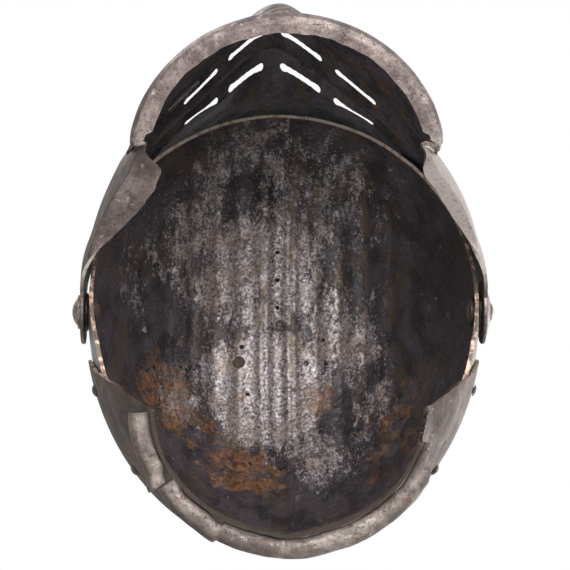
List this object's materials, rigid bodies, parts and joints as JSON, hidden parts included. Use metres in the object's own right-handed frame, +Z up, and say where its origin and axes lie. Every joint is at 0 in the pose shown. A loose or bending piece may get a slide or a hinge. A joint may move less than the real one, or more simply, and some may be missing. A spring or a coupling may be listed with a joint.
{
  "type": "maximilian helmet",
  "caption": "Fluted close helmet with a bellows visor that swings up on side pivots, a nape plate and a rolled neck rim.",
  "frame": {"origin": "middle of the footprint, on the ground that the visor lip and the neck rim stand on", "axes": "+Z up, the wearer looks along -Y, +X is the wearer's left"},
  "size_m": [0.2234, 0.2999, 0.2274],
  "materials": {
    "skull_steel": "dark worn forge-black steel, lightly rusted",
    "visor_steel": "worn grey-brown steel, black inside",
    "nape_steel": "pitted brown-grey steel",
    "rim_steel": "mottled bare steel rim",
    "pivot_steel": "worn steel with rust in the corners",
    "rosette_steel": "worn domed steel",
    "spring_steel": "dull spring steel",
    "rivet_iron": "dark rusted iron",
    "rusted_plug": "brown rust"
  },
  "bodies": {
    "helmet": {"skull": "skull_steel", "crown_plug": "rusted_plug", "nape_plate": "nape_steel", "neck_rim_rear": "rim_steel", "neck_rim_right": "rim_steel", "nape_rivets_right": "rivet_iron", "nape_rivets_left": "rivet_iron", "pivot_pin_right": "pivot_steel", "pivot_pin_left": "pivot_steel", "pivot_rosette_left": "rosette_steel", "pivot_burr_right": "rivet_iron", "pivot_burr_left": "rivet_iron", "spacer_washer_right": "rivet_iron", "spacer_washer_left": "rivet_iron"},
    "visor": {"visor": "visor_steel", "catch_rivet": "rivet_iron"},
    "catch": {"catch_leaf": "spring_steel", "catch_stud": "rivet_iron"}
  },
  "joints": [
    {"name": "visor_hinge", "type": "hinge", "parent": "helmet", "child": "visor", "pos_m": [0, 0.01765, 0.09773], "axis": [-1, 0, 0], "range_deg": [0, 52]},
    {"name": "catch_spring", "type": "hinge", "parent": "visor", "child": "catch", "pos_m": [-0.06157, -0.0923, 0.10108], "axis": [0, -0.1426, 0.9898], "range_deg": [0, 3.5], "stiffness_Nm_per_rad": 1.5, "springref_deg": -1.15}
  ]
}
